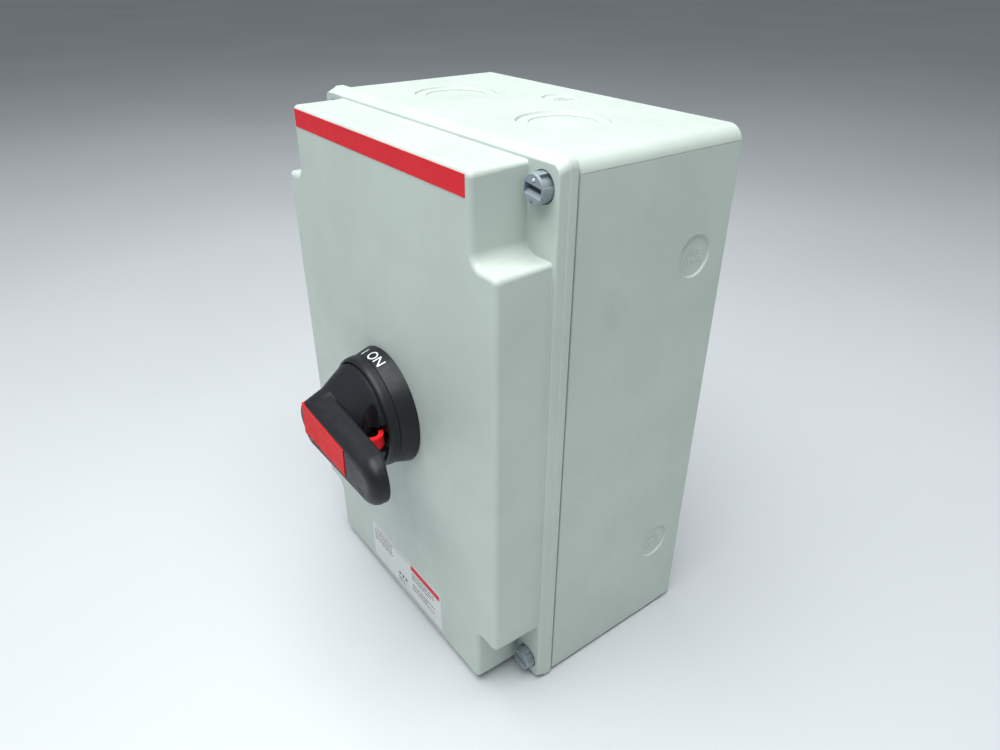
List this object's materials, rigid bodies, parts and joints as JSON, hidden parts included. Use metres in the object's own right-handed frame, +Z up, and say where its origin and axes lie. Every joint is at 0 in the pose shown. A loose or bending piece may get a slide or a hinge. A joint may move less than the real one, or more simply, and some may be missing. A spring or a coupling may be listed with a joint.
{
  "type": "rotary isolator switch",
  "caption": "Enclosed wall-mounted rotary isolator: pale grey plastic box with a lift-off cover, black pistol-grip handle with a red padlock slide, and the switch unit inside.",
  "frame": {"origin": "middle of the back face, on the centre of the four wall fixing holes", "axes": "+X right and +Z up as seen from the front; +Y into the wall, so the front faces -Y"},
  "size_m": [0.204, 0.1841, 0.3],
  "materials": {
    "enclosure_grey": "fine moulded texture, satin",
    "gasket": "matt",
    "red_film": "smooth printed film",
    "label_white": "satin printed film",
    "screw_grey": "satin",
    "brass": "machined",
    "handle_black": "satin",
    "slide_red": "semi-gloss",
    "zinc_steel": "zinc plated",
    "rotor_plastic": "matt",
    "copper": "plated copper, satin",
    "switch_plastic": "matt",
    "barrier_plastic": "matt"
  },
  "bodies": {
    "base": {"base_box": "enclosure_grey", "cover_screw_inserts": "brass", "mounting_plate": "zinc_steel", "plate_screws": "zinc_steel", "switch_base": "switch_plastic", "deck_housing_1": "switch_plastic", "deck_housing_2": "switch_plastic", "deck_housing_3": "switch_plastic", "mechanism_housing": "switch_plastic", "detent_plungers": "zinc_steel", "detent_springs": "zinc_steel", "stack_bolts": "zinc_steel", "switch_fixing_screws": "zinc_steel", "line_contacts": "copper", "load_contacts": "copper", "terminal_clamps": "zinc_steel", "terminal_screws": "zinc_steel", "pole_barriers": "barrier_plastic", "earth_bar": "brass", "earth_bar_screws": "zinc_steel", "earth_terminal_screws": "zinc_steel"},
    "cover": {"cover": "enclosure_grey", "cover_gasket": "gasket", "red_stripe": "red_film", "rating_label": "label_white", "handle_bezel": "handle_black", "bezel_seal": "gasket", "bezel_screws": "zinc_steel"},
    "handle": {"handle_grip": "handle_black", "hub_retaining_ring": "zinc_steel", "padlock_spring": "zinc_steel"},
    "padlock_slide": {"padlock_slide": "slide_red"},
    "rotor": {"rotor": "rotor_plastic", "drive_shaft": "zinc_steel", "shaft_coupling": "brass", "moving_contact_1": "copper", "moving_contact_2": "copper", "moving_contact_3": "copper"},
    "cover_screw_top_left": {"cover_screw_top_left": "screw_grey"},
    "cover_screw_top_right": {"cover_screw_top_right": "screw_grey"},
    "cover_screw_bottom_left": {"cover_screw_bottom_left": "screw_grey"},
    "cover_screw_bottom_right": {"cover_screw_bottom_right": "screw_grey"}
  },
  "joints": [
    {"name": "cover_lift", "type": "slide", "parent": "base", "child": "cover", "axis": [0, -1, 0], "range_m": [0, 0.12]},
    {"name": "handle_turn", "type": "hinge", "parent": "cover", "child": "handle", "pos_m": [0, -0.16, 0], "axis": [0, 1, 0], "range_deg": [0, 90]},
    {"name": "rotor_turn", "type": "hinge", "parent": "base", "child": "rotor", "pos_m": [0, -0.08, 0], "axis": [0, 1, 0], "range_deg": [0, 90]},
    {"name": "padlock_push", "type": "slide", "parent": "handle", "child": "padlock_slide", "axis": [0, 1, 0], "range_m": [0, 0.0035], "stiffness_N_per_m": 300, "springref_m": -0.004, "deforming": ["padlock_spring"]},
    {"name": "cover_screw_top_left_turn", "type": "hinge", "parent": "cover", "child": "cover_screw_top_left", "pos_m": [-0.0917, -0.11, 0.1372], "axis": [0, 1, 0], "range_deg": [-90, 0]},
    {"name": "cover_screw_top_right_turn", "type": "hinge", "parent": "cover", "child": "cover_screw_top_right", "pos_m": [0.0917, -0.11, 0.1372], "axis": [0, 1, 0], "range_deg": [-90, 0]},
    {"name": "cover_screw_bottom_left_turn", "type": "hinge", "parent": "cover", "child": "cover_screw_bottom_left", "pos_m": [-0.0917, -0.11, -0.1372], "axis": [0, 1, 0], "range_deg": [-90, 0]},
    {"name": "cover_screw_bottom_right_turn", "type": "hinge", "parent": "cover", "child": "cover_screw_bottom_right", "pos_m": [0.0917, -0.11, -0.1372], "axis": [0, 1, 0], "range_deg": [-90, 0]}
  ],
  "couplings": [
    {"joint": "rotor_turn", "follows": "handle_turn", "ratio": 1}
  ]
}
